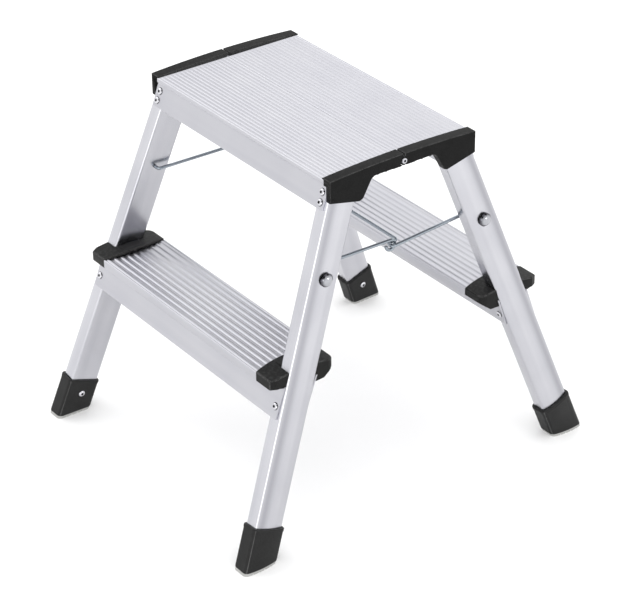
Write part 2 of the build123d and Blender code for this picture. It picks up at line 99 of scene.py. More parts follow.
# %% [markdown]
# ## Rounded edges on the treads
#
# The copy is joined up, and its flat faces are made whole again. Then the treads get a small bevel along
# every sharp edge. Extruded ribs never have knife edges, and the thin bright line along a rounded one is
# what makes metal look like metal. Caps, feet, legs and wire are already rounded in the CAD.
#
# The flat of a platform half runs round the ends of its ribs, so as one face it has the shape of a comb. A
# comb is hard to divide into triangles and would show dark lines, so it is cut across where the ribs end.

# %% A finished copy
JOIN_WITHIN = 0.002 * MM
FLAT_WITHIN = radians(0.2)
BEVEL_ABOVE = radians(28)
BEVEL_STEPS = 2
RIB_END = 162.8 * MM         # the platform's ribs stop here, just short of the caps


def joined_copy(node):
    """A copy of a CAD node with its triangles joined into whole faces."""
    piece = bpy.data.objects.new(node + "_finished", frame["nodes"][node].data.copy())
    bpy.context.scene.collection.objects.link(piece)
    pick(piece)
    bpy.ops.object.mode_set(mode="EDIT")
    bpy.ops.mesh.select_all(action="SELECT")
    bpy.ops.mesh.remove_doubles(threshold=JOIN_WITHIN)
    bpy.ops.mesh.dissolve_limited(angle_limit=FLAT_WITHIN)
    if node.endswith("platform_half"):
        for side in (-1, 1):
            bpy.ops.mesh.select_all(action="SELECT")
            bpy.ops.mesh.bisect(plane_co=(side * RIB_END, 0, 0), plane_no=(1, 0, 0))
    bpy.ops.object.mode_set(mode="OBJECT")
    return piece


def finished_copy(node, edge):
    """A joined, rounded and smooth copy of a CAD node, standing in its place."""
    piece = joined_copy(node)
    if edge:
        apply_modifier(
            piece, "BEVEL", width=edge, segments=BEVEL_STEPS, limit_method="ANGLE",
            angle_limit=BEVEL_ABOVE, use_clamp_overlap=False, miter_outer="MITER_ARC",
        )
    shade_by_angle(piece)
    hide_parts(node)
    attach(piece, body_of[node])
    return piece


# %% Finish every node
edge_sizes = {"platform_half": 0.15 * MM, "step": 0.25 * MM}
finished = {}
for name in frame["nodes"]:
    kind = name.split("_", 1)[1]
    finished[name] = finished_copy(name, edge_sizes.get(kind))
print("finished", len(finished), "faces", sum(len(piece.data.polygons) for piece in finished.values()))

# %% [markdown]
# ## Finding the rivet heads
#
# A blind rivet has a domed head with a hole in its middle. The foot of each head is painted dark, as painted
# shadow where the head meets the sheet, and its top stays bright. The heads could be modelled again, but the
# CAD has them in their true places, so they are only measured. Each rivet is a separate island of its node.
# Its line follows from the lean and the flare of the legs, its head is the end with the widest ring, and the
# rim of its hole is the outermost ring. Each point of a head gets its height above the sheet, from 0 to 1,
# for the painted shadow to use. The middle of the rim and the direction of the line are kept too, because
# more steps need them.

# %% Islands and axes
LEG_LEAN = radians(20.1)
LEG_FLARE = radians(5.3)


def islands(mesh):
    """The connected groups of a mesh's corner points, as lists of their numbers."""
    group = list(range(len(mesh.vertices)))

    def root(i):
        while group[i] != i:
            group[i] = group[group[i]]
            i = group[i]
        return i

    for edge in mesh.edges:
        a, b = edge.vertices
        group[root(a)] = root(b)
    found = {}
    for vertex in mesh.vertices:
        found.setdefault(root(vertex.index), []).append(vertex.index)
    return list(found.values())


def rivet_axis(node, middle):
    """The line of a rivet, from its place on the stool."""
    side = 1 if middle.x > 0 else -1
    front = -1 if node.startswith("front") else 1
    if "foot" in node:
        inward = sin(LEG_FLARE)
        return Vector((-side * cos(LEG_FLARE), front * inward * sin(LEG_LEAN), -inward * cos(LEG_LEAN)))
    return Vector((0, front * cos(LEG_LEAN), sin(LEG_LEAN)))


def head_of(node, points):
    """A rivet's outward direction, each point's height along it, and the height of its widest ring."""
    middle = sum(points, Vector()) / len(points)
    axis = rivet_axis(node, middle).normalized()
    heights = [point.dot(axis) for point in points]
    radii = [((point - middle) - (point - middle).dot(axis) * axis).length for point in points]
    widest = max(range(len(points)), key=lambda i: radii[i])
    if heights[widest] < (max(heights) + min(heights)) / 2:
        axis = -axis
        heights = [-height for height in heights]
    return axis, heights, heights[widest]


# %% Measure the heads
RIM_WITHIN = 0.02 * MM

rivet_heads = {"front_half": [], "rear_half": []}
bore_lines = {}
for name, piece in finished.items():
    if name.endswith("_rivets"):
        mesh = piece.data
        # Each point's height over the widest ring, for the painted shadow at the foot of the head
        burnish = mesh.attributes.new("burnish", "FLOAT", "POINT")
        for numbers in islands(mesh):
            points = [mesh.vertices[i].co.copy() for i in numbers]
            axis, heights, brim = head_of(name, points)
            top = max(heights)
            rim = [point for point, height in zip(points, heights) if height > top - RIM_WITHIN]
            line = (sum(rim, Vector()) / len(rim), axis)
            rivet_heads[body_of[name]].append(line)
            bore_lines.setdefault(name, []).append(line)
            for i, height in zip(numbers, heights):
                burnish.data[i].value = max(0.0, (height - brim) / (top - brim))
print("rivets", {body: len(heads) for body, heads in rivet_heads.items()})

# %% [markdown]
# ## A painted dark foot on the domed caps
#
# The caps at the ends of the spreader are pressed from sheet steel and then polished. Their foot is painted
# dark, as a painted reflection of a dark room in the chrome. A mask could be painted by hand, but the height
# of each point says the same, as on the rivets. The caps stand on lines along X, so it is measured there.

# %% Measure the domes
DOME_HEIGHT = 5.6 * MM

domes = [name for name in finished if slot_of[name] == "dome"]
for name in domes:
    mesh = finished[name].data
    # Each point's height under the crown, for the painted dark reflection at the foot of the dome
    burnish = mesh.attributes.new("burnish", "FLOAT", "POINT")
    top = max(abs(vertex.co.x) for vertex in mesh.vertices)
    for vertex in mesh.vertices:
        burnish.data[vertex.index].value = max(0.0, 1 - (top - abs(vertex.co.x)) / DOME_HEIGHT)
print("domes", domes)

# %% [markdown]
# ## A mandrel stub
#
# A blind rivet is set by pulling a steel mandrel through it until the mandrel snaps. The stub stays in the
# head, and it shows as a dark dot in a bright ring. Its steel is tinted near black, partly as painted shade
# of the hole. A dark spot of paint on the head would do from afar, but a real stub also catches light on its
# torn tip. One stub is modelled from a cylinder: its top edge is bevelled, then the top is inset and pulled
# up off centre, and a second inset is pushed down as the tear.

# %% Start the stub
STUB_SIDES = 24
STUB_RADIUS = 1.62 * MM
STUB_HEIGHT = 1.1 * MM
STUB_EDGE = 0.2 * MM
FACES_UP = 0.9               # a face looks up when its normal's height is more than this

bpy.ops.object.select_all(action="DESELECT")
bpy.ops.mesh.primitive_cylinder_add(
    vertices=STUB_SIDES, radius=STUB_RADIUS, depth=STUB_HEIGHT, location=(0, 0, -STUB_HEIGHT / 2))
stub = bpy.context.object
bpy.ops.object.transform_apply(location=True)
bpy.ops.object.mode_set(mode="EDIT")
bpy.ops.mesh.select_mode(type="FACE")
bpy.ops.mesh.select_all(action="DESELECT")
bpy.ops.object.mode_set(mode="OBJECT")
for face in stub.data.polygons:
    face.select = face.normal.z > FACES_UP
bpy.ops.object.mode_set(mode="EDIT")
bpy.ops.mesh.bevel(offset=STUB_EDGE, segments=BEVEL_STEPS)
bpy.ops.object.mode_set(mode="OBJECT")
print("blank faces", len(stub.data.polygons))

# %% Tear its tip
LEVEL_WITHIN = 0.01 * MM
TIP_INSET = 0.5 * MM
TIP_SHIFT = (0.12 * MM, 0, 0.28 * MM)
TEAR_INSET = 0.3 * MM
TEAR_SHIFT = (0, 0.08 * MM, -0.12 * MM)

top = max(vertex.co.z for vertex in stub.data.vertices)
for face in stub.data.polygons:
    face.select = face.normal.z > FACES_UP and face.center.z > top - LEVEL_WITHIN
bpy.ops.object.mode_set(mode="EDIT")
bpy.ops.mesh.inset(thickness=TIP_INSET)
bpy.ops.transform.translate(value=TIP_SHIFT)
bpy.ops.mesh.inset(thickness=TEAR_INSET)
bpy.ops.transform.translate(value=TEAR_SHIFT)
bpy.ops.object.mode_set(mode="OBJECT")
shade_by_angle(stub)
print("stub faces", len(stub.data.polygons))

# %% [markdown]
# ## A stub in every rivet
#
# The stub goes into each head, with its shoulder a little below the rim of the hole. Linked copies would
# save memory, but each copy gets its own mesh, so that its place can be written into it. Every copy is
# turned further than the one before, and so no two tears look alike. The stubs of one half of the stool
# always move together, and they become one object.

# %% Copy the stub
STUB_SUNK = 0.72 * MM        # its shoulder below the rim of the hole
STUB_TURN = radians(77)


def joined(name, pieces):
    """One object from several, with the first as its base."""
    bpy.ops.object.select_all(action="DESELECT")
    for piece in pieces:
        piece.select_set(True)
    bpy.context.view_layer.objects.active = pieces[0]
    bpy.ops.object.join()
    pieces[0].name = name
    return pieces[0]


mandrels = []
for body, heads in rivet_heads.items():
    copies = []
    for count, (place, axis) in enumerate(heads):
        copy = bpy.data.objects.new("stub", stub.data.copy())
        bpy.context.scene.collection.objects.link(copy)
        upright = axis.to_track_quat("Z", "Y").to_matrix().to_4x4()
        turn = Matrix.Rotation(count * STUB_TURN, 4, "Z")
        copy.data.transform(Matrix.Translation(place - STUB_SUNK * axis) @ upright @ turn)
        copies.append(copy)
    group = joined(body + "_rivet_mandrels", copies)
    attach(group, body)
    mandrels.append(group)
bpy.data.objects.remove(stub)
print("mandrels", [len(group.data.polygons) for group in mandrels])

# %% [markdown]
# ## Finishes
#
# Each finish starts from what the real surface is and how it was made. Colours are given as sRGB values, and
# one function turns them into the linear values that the renderer needs. Another small function adds a node,
# fills its sockets and links it, so that a material reads from top to bottom.
# Most sockets go by their names. Where several share a name, they are reached by number.

# %% Material helpers
FIRST, SECOND = 0, 1                                      # of a Math node
SHARE, LOW, HIGH = 0, 2, 3                                # of a Mix node for plain values
LOW_COLOUR, HIGH_COLOUR, MIXED_COLOUR = 6, 7, 2           # of a Mix node for colours
NOISE_LOW, NOISE_HIGH = 0.3, 0.7                          # most values of a noise lie between these


def linear(hex_colour):
    """An sRGB hex colour as linear RGBA."""
    values = [int(hex_colour[i:i + 2], 16) / 255 for i in (1, 3, 5)]
    return (*[v / 12.92 if v <= 0.04045 else ((v + 0.055) / 1.055) ** 2.4 for v in values], 1.0)


def add(tree, kind, inputs=None, **settings):
    """Add a node, set its settings, and fill or link its inputs."""
    made = tree.nodes.new(kind)
    for name, value in settings.items():
        setattr(made, name, value)
    for name, value in (inputs or {}).items():
        if isinstance(value, bpy.types.NodeSocket):
            tree.links.new(value, made.inputs[name])
        else:
            made.inputs[name].default_value = value
    return made


def new_material(name):
    """An empty node material and the tree to build in."""
    material = bpy.data.materials.new(name)
    material.use_nodes = True
    material.node_tree.nodes.clear()
    return material, material.node_tree


def finish_material(tree, shader):
    """Link a shader to the material's output."""
    add(tree, "ShaderNodeOutputMaterial", {"Surface": shader.outputs[0]})


# %% [markdown]
# ### Where the painted dark band of a leg runs
#
# A hollow section comes from a die that splits the metal and presses it together again. A soft, slightly
# darker band is painted along the whole leg, near its outer edge. It is a painted reflection of a darker
# part of the room that the crowned face would mirror. An image would need a layout for each leg, but a
# distance from one line does for all four. The legs are mirror images, so their places are folded onto one
# quarter with absolute values and then turned so that the leg stands upright. The same turn is worked out
# here for the middle of one leg, and the band's line lies a set distance from it.

# %% Painted band line
OUTER_FACE = 10 * MM         # from the leg's middle
DARK_BAND_FROM_CENTRE = 12.5 * MM
DARK_BAND_REACH = 9 * MM

lowest, highest = [Vector(corner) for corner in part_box("front_right_leg")]
leg_middle = (lowest + highest) / 2
along_leg = leg_middle.z * cos(LEG_LEAN) - abs(leg_middle.y) * sin(LEG_LEAN)
leg_x = abs(leg_middle.x) * cos(LEG_FLARE) + along_leg * sin(LEG_FLARE)
leg_y = abs(leg_middle.y) * cos(LEG_LEAN) + leg_middle.z * sin(LEG_LEAN)
dark_band_line = (leg_x + OUTER_FACE, leg_y + DARK_BAND_FROM_CENTRE, 0)
print("dark band after the turn", [round(value / MM, 1) for value in dark_band_line], "mm")


def painted_band_tint(tree, place, tint, dark_band):
    """The metal's tint with a painted dark band, a painted reflection, fading in along its line."""
    level = add(tree, "ShaderNodeVectorMath", {FIRST: place, SECOND: (1, 1, 0)}, operation="MULTIPLY")
    from_line = {FIRST: level.outputs[0], SECOND: dark_band_line}
    away = add(tree, "ShaderNodeVectorMath", from_line, operation="DISTANCE").outputs["Value"]
    fade = {"Value": away, "From Min": 0.0, "From Max": DARK_BAND_REACH}
    clear = add(tree, "ShaderNodeMapRange", fade, interpolation_type="SMOOTHSTEP").outputs[0]
    # The band's colour is painted in as a dark reflection along the leg.
    shades = {SHARE: clear, LOW_COLOUR: linear(dark_band), HIGH_COLOUR: tint}
    return add(tree, "ShaderNodeMix", shades, data_type="RGBA").outputs[MIXED_COLOUR]


# %% [markdown]
# ### Extruded aluminium
#
# Legs, steps and platform are extrusions. The die leaves fine lines along the length, and the bare metal
# is satin: light smears out and the faces look softly banded. An anisotropic shader could smear the light,
# but the lines themselves are what one sees from near. So a noise stretched along the extrusion drives
# the roughness and a very shallow bump. Broad bands and a slow cloud of a slightly other grey keep large
# faces from looking like paint.

# %% Aluminium
LINE_WIDTH = 0.9 * MM        # drawn coarser than the real 0.2 mm die lines, so that they show
LINE_LENGTH = 400 * MM
LINE_DEPTH = 0.02 * MM
LINE_STRENGTH = 0.03
LINE_GLOSS = 0.02            # roughness to either side of its middle value
BAND_WIDTH = 11 * MM
CLOUD_SIZE = 70 * MM
SUM_LOW, SUM_HIGH = 0.7, 1.3     # most values of two noises added up


def extruded_aluminium(name, light, dark, rough, dark_band=None):
    """Satin bare aluminium with die lines along X, or along the legs where a colour for the painted dark
    band is given.
    """
    material, tree = new_material(name)
    place = add(tree, "ShaderNodeTexCoord").outputs["Object"]
    lines = (1 / LINE_LENGTH, 1 / LINE_WIDTH, 1 / LINE_WIDTH)
    bands = (1 / LINE_LENGTH, 1 / BAND_WIDTH, 1 / BAND_WIDTH)
    if dark_band:
        folded = add(tree, "ShaderNodeVectorMath", {FIRST: place}, operation="ABSOLUTE").outputs[0]
        upright = {"Vector": folded, "Rotation": (-LEG_LEAN, LEG_FLARE, 0)}
        place = add(tree, "ShaderNodeMapping", upright).outputs[0]
        lines = (1 / LINE_WIDTH, 1 / LINE_WIDTH, 1 / LINE_LENGTH)
        bands = (1 / BAND_WIDTH, 1 / BAND_WIDTH, 1 / LINE_LENGTH)
    fine = add(tree, "ShaderNodeMapping", {"Vector": place, "Scale": lines}).outputs[0]
    broad = add(tree, "ShaderNodeMapping", {"Vector": place, "Scale": bands}).outputs[0]
    streaks = add(tree, "ShaderNodeTexNoise", {"Vector": fine, "Scale": 1.0, "Detail": 2.0}).outputs[0]
    band = add(tree, "ShaderNodeTexNoise", {"Vector": broad, "Scale": 1.0, "Detail": 1.0}).outputs[0]
    clouding = {"Vector": place, "Scale": 1 / CLOUD_SIZE, "Detail": 2.0}
    cloud = add(tree, "ShaderNodeTexNoise", clouding).outputs[0]
    blend = add(tree, "ShaderNodeMath", {FIRST: cloud, SECOND: band}, operation="ADD").outputs[0]
    spread = {"Value": blend, "From Min": SUM_LOW, "From Max": SUM_HIGH}
    share = add(tree, "ShaderNodeMapRange", spread).outputs[0]
    shades = {SHARE: share, LOW_COLOUR: linear(dark), HIGH_COLOUR: linear(light)}
    tint = add(tree, "ShaderNodeMix", shades, data_type="RGBA").outputs[MIXED_COLOUR]
    if dark_band:
        tint = painted_band_tint(tree, place, tint, dark_band)
    gloss = {
        "Value": streaks, "From Min": NOISE_LOW, "From Max": NOISE_HIGH,
        "To Min": rough - LINE_GLOSS, "To Max": rough + LINE_GLOSS,
    }
    roughness = add(tree, "ShaderNodeMapRange", gloss).outputs[0]
    relief = {"Height": streaks, "Strength": LINE_STRENGTH, "Distance": LINE_DEPTH}
    normal = add(tree, "ShaderNodeBump", relief).outputs[0]
    finish_material(tree, add(tree, "ShaderNodeBsdfPrincipled", {
        "Base Color": tint, "Metallic": 1.0, "Roughness": roughness, "Normal": normal,
    }))
    return material


# %% [markdown]
# ### Three states of the same metal
#
# The treads are etched to a soft satin, so their ribs glow evenly. The legs get a slightly paler tint,
# partly as a painted reflection of the sheen along their lines, and they mirror the room in long soft bands.
# The undersides get a much paler metal as painted fill light, so that they throw light back at whatever is
# below.

# %% Three metals
tread_metal = extruded_aluminium(
    "Aluminium extrusion, satin, lines along the tread", "#b8b8bd", "#b2b2b8", rough=0.34)
# The legs' paler tint is partly a painted reflection of the sheen along their lines, and the band colour is
# a painted dark reflection.
leg_metal = extruded_aluminium(
    "Aluminium extrusion, satin, lines along the leg", "#c2c2c7", "#b6b6bc", rough=0.25, dark_band="#a2a2a8")
underside_fill_metal = extruded_aluminium("Aluminium extrusion, paler undersides as painted fill light", "#f4f4f7", "#e6e6ea", rough=0.4)
print(tread_metal.name, "|", leg_metal.name, "|", underside_fill_metal.name)

# %% [markdown]
# ### Painted highlights on edges
#
# The rounded edges of the black plastic get a painted highlight: they turn grey where they would catch the
# light. A pointiness node would find edges too, but it needs dense meshes and is lost in other programs, so
# a number on each face marks them. On the caps an edge is a strip of narrow faces that turns tightly: the
# width of a face over the angle to its neighbour is the radius of the bend. On the feet only the middles of
# the four upright corners get the painted highlight, and their normals point between the sides.

# %% Mark the edges
EDGE_RADIUS = 2.2 * MM       # a bend tighter than this gets a painted highlight
FLAT_JOINT = radians(2)
CORNER_TURN = (0.64, 0.77)   # how far the middle of a foot's upright corner faces sideways
CORNER_TILT = 0.4


def mark_highlight_edges(piece, is_foot):
    """Mark the faces of tight bends, or the middle of a foot's corners, for a painted highlight, with a
    number on each face.
    """
    mesh = piece.data
    painted_highlight = mesh.attributes.new("painted_highlight", "FLOAT", "FACE")
    beside = {}
    for face in mesh.polygons:
        for edge in face.edge_keys:
            beside.setdefault(edge, []).append(face)
    marked = 0
    for face in mesh.polygons:
        spans = [(mesh.vertices[a].co - mesh.vertices[b].co).length for a, b in face.edge_keys]
        width = 2 * face.area / sum(spans)
        longest = max(zip(spans, face.edge_keys))[1]
        turn = max(face.normal.angle(other.normal, 0.0) for other in beside[longest])
        tight = turn > FLAT_JOINT and width / turn < EDGE_RADIUS
        sideways = CORNER_TURN[0] < abs(face.normal.x) < CORNER_TURN[1]
        corner = sideways and abs(face.normal.z) < CORNER_TILT
        # Marked faces get a painted highlight, a grey line where the edge would catch the light.
        gets_highlight = corner if is_foot else tight
        if gets_highlight:
            painted_highlight.data[face.index].value = 1.0
            marked += 1
    return marked


highlight_faces = {}
for name, piece in finished.items():
    if slot_of[name] == "black_plastic":
        highlight_faces[name] = mark_highlight_edges(piece, name.endswith("foot"))
print("painted highlight faces", highlight_faces)

# %% [markdown]
# ### Scuffs and painted sheen on tops, painted highlights on edges
#
# The faces of the caps that look up get grey patches. These are partly scuffs from shoes and hands and
# partly painted sheen, where the tops would catch the bright room. The direction of a face is read in the
# piece's own frame, so the patches stay in place when the stool folds. A patchy noise breaks them up. Where
# an edge is marked, the plastic turns grey on the peaks of its grain, as a painted highlight. The stronger
# of the two marks wins.

# %% Wear
SCUFF_AND_SHEEN_SIZE = 4 * MM
SCUFF_AND_SHEEN_LOW, SCUFF_AND_SHEEN_HIGH = 0.45, 0.7
LOOKS_UP, LOOKS_UP_FULLY = 0.75, 0.95


def painted_light_tint(tree, surface, tint, speck, highlight_and_scuff_colour, scuff_and_sheen):
    """The plastic's tint with a painted highlight on marked edges, and scuffs with painted sheen in patches
    on its top faces.
    """
    # The marked edges turn grey as a painted highlight.
    edge = add(tree, "ShaderNodeAttribute", attribute_name="painted_highlight").outputs["Fac"]
    edge_highlight = add(tree, "ShaderNodeMath", {FIRST: edge, SECOND: speck}, operation="MULTIPLY").outputs[0]
    upward = add(tree, "ShaderNodeSeparateXYZ", {"Vector": surface.outputs["Normal"]}).outputs["Z"]
    top_face_share = add(tree, "ShaderNodeMapRange", {
        "Value": upward, "From Min": LOOKS_UP, "From Max": LOOKS_UP_FULLY, "To Max": scuff_and_sheen,
    }).outputs[0]
    scuff_and_sheen_pattern = {"Vector": surface.outputs["Object"], "Scale": 1 / SCUFF_AND_SHEEN_SIZE, "Detail": 3.0}
    scuff_and_sheen_noise = add(tree, "ShaderNodeTexNoise", scuff_and_sheen_pattern).outputs[0]
    clusters = {"Value": scuff_and_sheen_noise, "From Min": SCUFF_AND_SHEEN_LOW, "From Max": SCUFF_AND_SHEEN_HIGH}
    patches = add(tree, "ShaderNodeMapRange", clusters).outputs[0]
    # Faces that look up get patches that are partly scuffs and partly painted sheen.
    top_scuff_and_sheen = add(tree, "ShaderNodeMath", {FIRST: top_face_share, SECOND: patches}, operation="MULTIPLY").outputs[0]
    light_and_scuff_share = add(tree, "ShaderNodeMath", {FIRST: edge_highlight, SECOND: top_scuff_and_sheen}, operation="MAXIMUM").outputs[0]
    shades = {SHARE: light_and_scuff_share, LOW_COLOUR: tint, HIGH_COLOUR: linear(highlight_and_scuff_colour)}
    return add(tree, "ShaderNodeMix", shades, data_type="RGBA").outputs[MIXED_COLOUR]


# %% [markdown]
# ### Moulded plastic and rubber
#
# Caps and feet are polypropylene, moulded in a spark-eroded tool. That leaves an even grain, which breaks
# the shine into a soft grey bloom on the faces that look up. A displaced mesh would be far too heavy for
# such a grain, so a fine noise moves both the bump and the roughness. The soles use the same recipe with
# a paler colour and a duller face.

# %% Moulded surfaces
GRAIN_SIZE = 1.1 * MM        # drawn coarser than the real 0.3 mm grain, so that it shows
GRAIN_STRENGTH = 0.5
GRAIN_GLOSS = 0.08           # roughness to either side of its middle value
MOTTLE_SIZE = 16 * MM
MOTTLE_SHARE = 0.2
PLASTIC_IOR = 1.49


def moulded(name, light, dark, rough, shine, grain_depth, highlight_and_scuff_colour=None, scuff_and_sheen=0.0):
    """A moulded surface with a fine even grain, and with painted highlights, scuffs and painted sheen where
    their colour is given.
    """
    material, tree = new_material(name)
    surface = add(tree, "ShaderNodeTexCoord")
    place = surface.outputs["Object"]
    graining = {"Vector": place, "Scale": 1 / GRAIN_SIZE, "Detail": 4.0}
    grain = add(tree, "ShaderNodeTexNoise", graining).outputs[0]
    mottling = {"Vector": place, "Scale": 1 / MOTTLE_SIZE, "Detail": 2.0}
    mottle = add(tree, "ShaderNodeTexNoise", mottling).outputs[0]
    both = add(tree, "ShaderNodeMix", {SHARE: MOTTLE_SHARE, LOW: grain, HIGH: mottle}).outputs[0]
    spread = {"Value": both, "From Min": NOISE_LOW, "From Max": NOISE_HIGH}
    speck = add(tree, "ShaderNodeMapRange", spread).outputs[0]
    shades = {SHARE: speck, LOW_COLOUR: linear(dark), HIGH_COLOUR: linear(light)}
    tint = add(tree, "ShaderNodeMix", shades, data_type="RGBA").outputs[MIXED_COLOUR]
    if highlight_and_scuff_colour:
        tint = painted_light_tint(tree, surface, tint, speck, highlight_and_scuff_colour, scuff_and_sheen)
    gloss = {
        "Value": grain, "From Min": NOISE_LOW, "From Max": NOISE_HIGH,
        "To Min": rough - GRAIN_GLOSS, "To Max": rough + GRAIN_GLOSS,
    }
    roughness = add(tree, "ShaderNodeMapRange", gloss).outputs[0]
    relief = {"Height": grain, "Strength": GRAIN_STRENGTH, "Distance": grain_depth}
    normal = add(tree, "ShaderNodeBump", relief).outputs[0]
    finish_material(tree, add(tree, "ShaderNodeBsdfPrincipled", {
        "Base Color": tint, "Roughness": roughness, "Normal": normal,
        "IOR": PLASTIC_IOR, "Specular IOR Level": shine,
    }))
    return material


# %% [markdown]
# ### Three plastics and a rubber
#
# The top caps are a deep black with very little shine, so their sides read as one dark shape. Shoes brush
# past the step caps, which are a trace paler and shinier and have more scuffs and painted sheen on their
# tops. The feet are a charcoal that catches still more light. The soles are a pale grey rubber, soft and
# dull. One black for all would be simpler, but on the real stool each kind catches the light in its own way.

# %% Plastic and rubber
PLASTIC_GRAIN = 0.12 * MM
RUBBER_GRAIN = 0.05 * MM

# The grey given here is a painted highlight on the edges, and scuffs with painted sheen on the tops.
cap_plastic = moulded(
    "Polypropylene, black, moulded with a fine grain", "#202020", "#0a0a0a",
    rough=0.46, shine=0.055, grain_depth=PLASTIC_GRAIN, highlight_and_scuff_colour="#4c4c4c", scuff_and_sheen=0.1)
step_plastic = moulded(
    "Polypropylene, black, scuffs and painted sheen on top", "#242424", "#0e0e0e",
    rough=0.46, shine=0.09, grain_depth=PLASTIC_GRAIN, highlight_and_scuff_colour="#4c4c4c", scuff_and_sheen=0.2)
foot_plastic = moulded(
    "Polypropylene, charcoal, moulded with a fine grain", "#2b2b2b", "#191919",
    rough=0.48, shine=0.13, grain_depth=PLASTIC_GRAIN, highlight_and_scuff_colour="#5a5a5a", scuff_and_sheen=0.3)
sole_rubber = moulded(
    "Rubber, pale grey, moulded", "#aaaaa8", "#9c9c9a",
    rough=0.65, shine=0.3, grain_depth=RUBBER_GRAIN)
print("moulded", [look.name for look in (cap_plastic, step_plastic, foot_plastic, sole_rubber)])

# %% [markdown]
# ### Bright fittings
#
# The wire is drawn steel with a bright zinc plating, which has a cold blue cast. The domed caps are pressed
# from polished steel, and the rivets are plain bright aluminium. The mandrel stubs are steel, tinted near
# black, partly as painted shade of the rivet holes. All are smooth metals that differ in tint and in how far
# they blur what they mirror, so one short function makes them. Where the colour of a dark foot is given, the
# measured heights turn the metal bright above it. That foot is painted shadow on the rivets and painted dark
# reflection on the domes.

# %% Bright metals
BLOTCH_SIZE = 4 * MM
BLOTCH_SMOOTHER, BLOTCH_ROUGHER = 0.03, 0.05     # roughness below and above its given value


def smooth_metal(name, light, dark, rough, foot=None, brightens=(0.25, 0.6)):
    """A plain metal with faint blotches, and with a painted dark foot where its colour is given."""
    material, tree = new_material(name)
    place = add(tree, "ShaderNodeTexCoord").outputs["Object"]
    blotches = {"Vector": place, "Scale": 1 / BLOTCH_SIZE, "Detail": 3.0}
    blotch = add(tree, "ShaderNodeTexNoise", blotches).outputs[0]
    shades = {SHARE: blotch, LOW_COLOUR: linear(dark), HIGH_COLOUR: linear(light)}
    tint = add(tree, "ShaderNodeMix", shades, data_type="RGBA").outputs[MIXED_COLOUR]
    if foot:
        # The stored height fades the painted dark foot into the metal's own tint.
        height = add(tree, "ShaderNodeAttribute", attribute_name="burnish").outputs["Fac"]
        rise = {"Value": height, "From Min": brightens[0], "From Max": brightens[1]}
        bright = add(tree, "ShaderNodeMapRange", rise).outputs[0]
        shades = {SHARE: bright, LOW_COLOUR: linear(foot), HIGH_COLOUR: tint}
        tint = add(tree, "ShaderNodeMix", shades, data_type="RGBA").outputs[MIXED_COLOUR]
    gloss = {
        "Value": blotch, "From Min": NOISE_LOW, "From Max": NOISE_HIGH,
        "To Min": rough - BLOTCH_SMOOTHER, "To Max": rough + BLOTCH_ROUGHER,
    }
    roughness = add(tree, "ShaderNodeMapRange", gloss).outputs[0]
    finish_material(tree, add(tree, "ShaderNodeBsdfPrincipled", {
        "Base Color": tint, "Metallic": 1.0, "Roughness": roughness,
    }))
    return material


zinc_wire = smooth_metal("Steel wire, bright zinc plated", "#9ba2a9", "#848b93", rough=0.16)
# The foot colour is a painted dark reflection round the foot of the dome.
polished = smooth_metal(
    "Steel, pressed and polished", "#b2b3b8", "#a6a7ac", rough=0.07, foot="#505055", brightens=(0.4, 0.78))
# The foot colour is painted shadow where the rivet head meets the sheet.
rivet_metal = smooth_metal(
    "Aluminium rivet, bright on top", "#d0d0d4", "#c4c4c9", rough=0.18, foot="#4a4a4e")
pin_metal = smooth_metal("Aluminium rivet, turned", "#c4c4c9", "#b4b4ba", rough=0.2)
# The stub's near-black tint is partly painted shade of the rivet hole.
mandrel_steel = smooth_metal("Steel mandrel, near black as painted shade in the hole", "#1c1c1e", "#101011", rough=0.35)
fittings = (zinc_wire, polished, rivet_metal, pin_metal, mandrel_steel)
print("fittings", [metal.name for metal in fittings])

# %% [markdown]
# ## Every piece gets its finish
#
# The record names a material slot for each piece, and each slot has a finish. Legs, feet, step caps and the
# turned hinge rivets have their own. The faces of the treads that look down get the much paler underside
# metal, as painted fill light.
#
# Satin ribs beside a black cap would mirror it as a row of dark teeth. On the real stool that edge is clean
# and straight, so the top caps are left out of what the metal mirrors. Rougher ribs would hide the teeth
# as well, but then the whole platform would lose its crispness.

# %% Assign the finishes
LOOKS_DOWN = -0.5            # a face looks down when its normal's height is less than this

slot_look = {
    "aluminium": tread_metal, "black_plastic": cap_plastic, "grey_rubber": sole_rubber,
    "rivet": rivet_metal, "wire": zinc_wire, "dome": polished,
}
own_look = {
    "leg": leg_metal, "foot": foot_plastic, "step_cap": step_plastic, "hinge_rivet": pin_metal,
}
for name, piece in finished.items():
    look = slot_look[slot_of[name]]
    for ending, own in own_look.items():
        if name.endswith(ending):
            look = own
    piece.data.materials.clear()
    piece.data.materials.append(look)
    piece.visible_glossy = not name.endswith("top_cap")
    if name.endswith(("_half", "_step")):
        # Faces that look down get the paler metal, painted as fill light for the grooves below.
        piece.data.materials.append(underside_fill_metal)
        for face in piece.data.polygons:
            face.material_index = int(face.normal.z < LOOKS_DOWN)
for group in mandrels:
    group.data.materials.clear()
    group.data.materials.append(mandrel_steel)
in_use = {slot.material.name for piece in finished.values() for slot in piece.material_slots}
print("finishes in use", len(in_use))

# %% [markdown]
# ### Painted shade in the bores
#
# Each rivet shows a dark hole in a bright ring, because little light finds its way into a narrow bore. In an
# all-white room a bright bore would only mirror the sky, and the hole would be lost, so that shade is
# painted. A dark plug could fill it, but the bore's own faces are there already. The faces whose corners all
# lie close to the middle line of a rivet get a dull dark metal as painted shade. For the hinge rivets that
# line is the axis of the fold.

# %% Darken the bores
RIVET_BORE = 1.72 * MM       # both a little more than the radius of the hole
HINGE_BORE = 1.6 * MM

